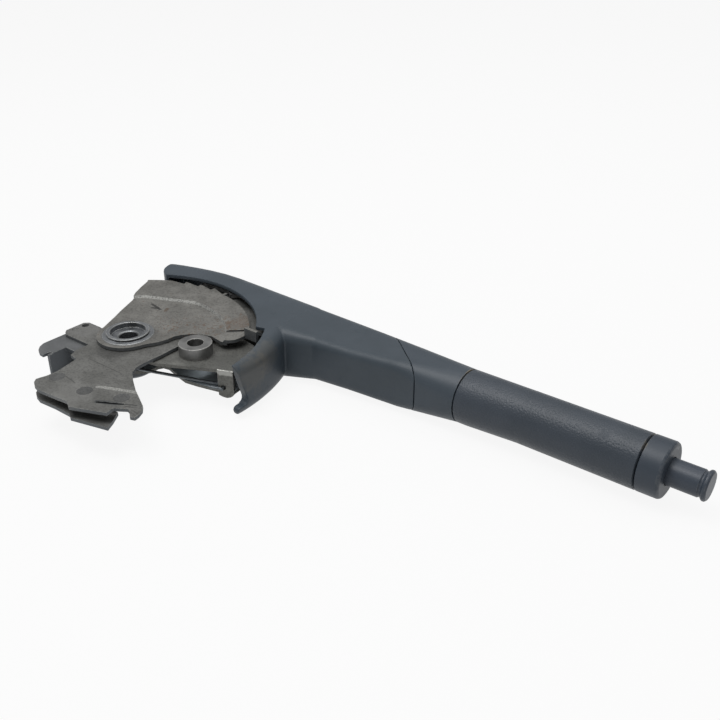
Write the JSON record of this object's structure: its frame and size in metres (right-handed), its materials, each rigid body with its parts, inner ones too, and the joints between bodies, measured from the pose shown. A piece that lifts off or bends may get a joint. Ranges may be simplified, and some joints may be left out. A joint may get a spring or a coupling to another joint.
{
  "type": "parking brake lever",
  "caption": "Hand parking brake lever: pressed steel ratchet sector, pivoting lever with cable quadrant, moulded housing, round grip and push-button release.",
  "frame": {"origin": "on the pivot axis, in the middle plane of the handle", "axes": "+X along the handle to the button, +Y up when fitted (the way the handle is pulled), +Z along the pivot to the side with the ratchet sector"},
  "size_m": [0.3777, 0.171, 0.035],
  "materials": {
    "pressed_steel": "dull phosphated sheet with rust specks",
    "turned_steel": "turned, lightly tarnished",
    "dark_rivet": "flush, darkened",
    "hard_steel": "hardened, oiled",
    "tube_steel": "drawn tube, bare",
    "spring_steel": "drawn wire",
    "nylon": "natural nylon",
    "housing_plastic": "satin moulded, scuffed",
    "grip_plastic": "fine pebble grain with a soft sheen",
    "button_plastic": "satin moulded"
  },
  "bodies": {
    "base": {"mounting_bracket": "pressed_steel", "ratchet_sector": "pressed_steel", "sector_spacer": "turned_steel", "pivot_bush": "turned_steel", "mount_bush": "turned_steel", "thrust_washers": "nylon", "return_spring": "spring_steel"},
    "lever": {"lever_cheek_near": "pressed_steel", "lever_arm_near": "pressed_steel", "lever_cheek_far": "pressed_steel", "rear_strap": "pressed_steel", "cable_quadrant": "pressed_steel", "quadrant_rivets": "dark_rivet", "tube_adapter": "turned_steel", "adapter_rivets": "turned_steel", "lever_tube": "tube_steel", "lever_shell": "housing_plastic", "neck_sleeve": "housing_plastic", "grip": "grip_plastic", "end_collar": "housing_plastic", "pawl_pin": "turned_steel", "rod_guide": "nylon", "button_spring": "spring_steel"},
    "pawl": {"pawl": "hard_steel", "pawl_drive_pin": "turned_steel"},
    "button": {"push_button": "button_plastic", "push_rod": "turned_steel", "spring_seat": "button_plastic"}
  },
  "joints": [
    {"name": "lever_swing", "type": "hinge", "parent": "base", "child": "lever", "pos_m": [0, 0, 0], "axis": [0, 0, 1], "range_deg": [0, 38], "stiffness_Nm_per_rad": 0.6, "springref_deg": -8.59, "deforming": ["return_spring"]},
    {"name": "button_push", "type": "slide", "parent": "lever", "child": "button", "axis": [-1, 0, 0], "range_m": [0, 0.007], "stiffness_N_per_m": 600, "springref_m": -0.005, "deforming": ["button_spring"]},
    {"name": "pawl_release", "type": "hinge", "parent": "lever", "child": "pawl", "pos_m": [-0.01438, 0.08154, 0], "axis": [0, 0, 1], "range_deg": [0, 7.2]}
  ],
  "couplings": [
    {"joint": "pawl_release", "follows": "button_push", "rad_per_m": 17.453}
  ]
}
